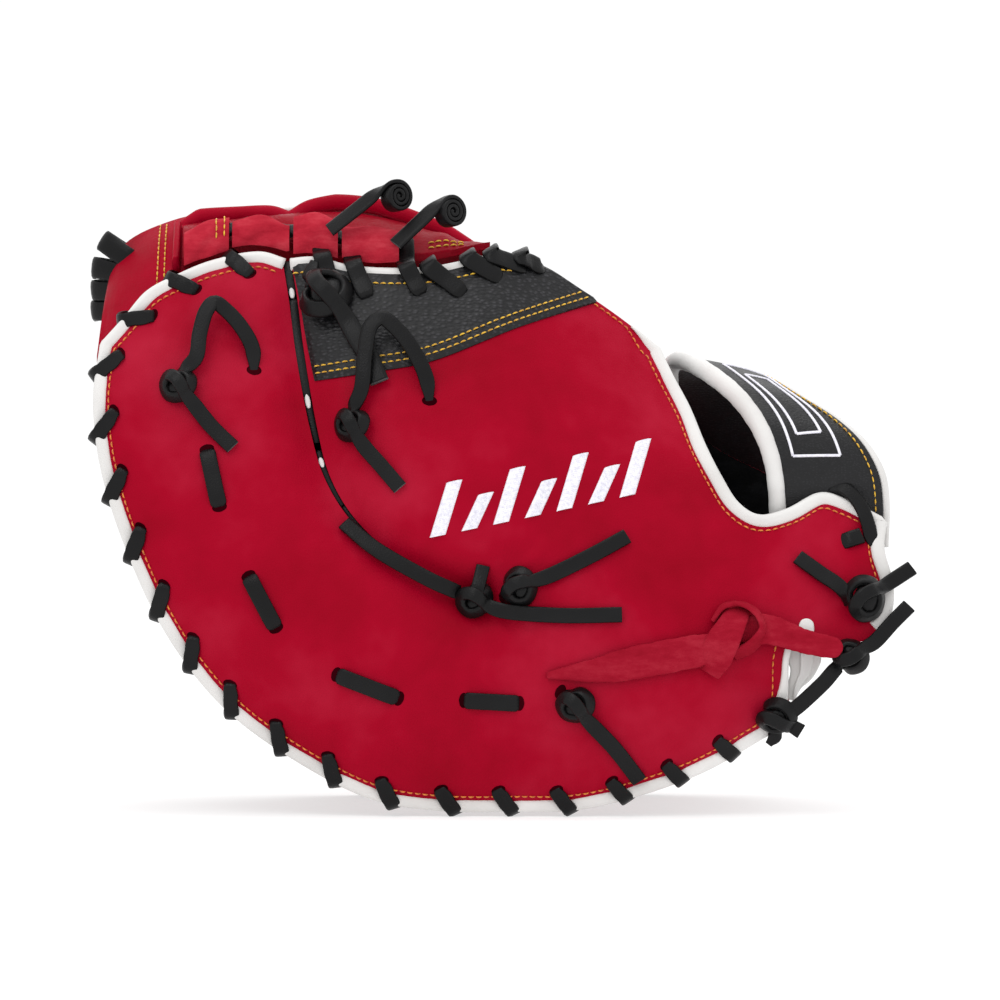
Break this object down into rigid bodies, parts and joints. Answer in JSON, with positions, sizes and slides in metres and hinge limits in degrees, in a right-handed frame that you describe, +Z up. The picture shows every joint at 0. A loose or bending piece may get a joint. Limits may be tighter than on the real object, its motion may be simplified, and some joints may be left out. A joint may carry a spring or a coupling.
{
  "type": "first baseman mitt",
  "caption": "Red leather first baseman mitt with white bindings and black laces, standing palm down with its hand opening to one side.",
  "frame": {"origin": "middle of the underside of the box round the whole mitt, on the surface that it stands on", "axes": "+Z up, +X from the finger tips to the wrist as seen from the finger side, -Y towards that side's viewer, +Y to the thumb side"},
  "size_m": [0.2966, 0.1552, 0.2286],
  "materials": {
    "red_leather": "satin, soft sheen",
    "palm_leather": "satin, darker in the folds",
    "red_suede": "matt suede",
    "black_leather": "embossed satin",
    "black_lace": "waxed rawhide lace",
    "white_leather": "smooth satin",
    "lining": "brushed lining"
  },
  "bodies": {
    "root": {"finger_back_shell": "red_leather", "palm_pad": "palm_leather", "thumb_back_shell": "red_leather", "hand_lining": "lining", "tip_panel": "black_leather", "edge_binding": "white_leather", "top_binding": "white_leather", "opening_binding": "white_leather", "thumb_binding": "white_leather", "slit_welt": "white_leather", "web_sheet": "palm_leather", "web_rim": "red_leather", "web_loop_a": "red_suede", "web_loop_b": "red_suede", "web_loop_c": "red_suede", "web_loop_d": "red_suede", "web_tip_bar": "red_leather", "wrist_strap": "black_leather", "strap_roll": "white_leather", "strap_piping": "white_leather", "edge_lace": "black_lace", "thumb_lace": "black_lace", "top_lace": "black_lace", "loop_lace_a": "black_lace", "loop_lace_b": "black_lace", "tip_knot": "black_lace", "slit_strip": "black_lace", "side_knot": "black_lace", "slit_lace": "black_lace", "break_lace_1": "black_lace", "break_lace_2": "black_lace", "break_lace_3": "black_lace", "break_lace_4": "black_lace", "break_knot": "black_lace", "web_end_a": "black_lace", "web_end_b": "black_lace", "heel_lace": "black_lace", "tab_knot": "black_lace", "strap_lace": "black_lace", "heel_piece": "white_leather", "suede_tie": "red_suede"}
  },
  "joints": []
}
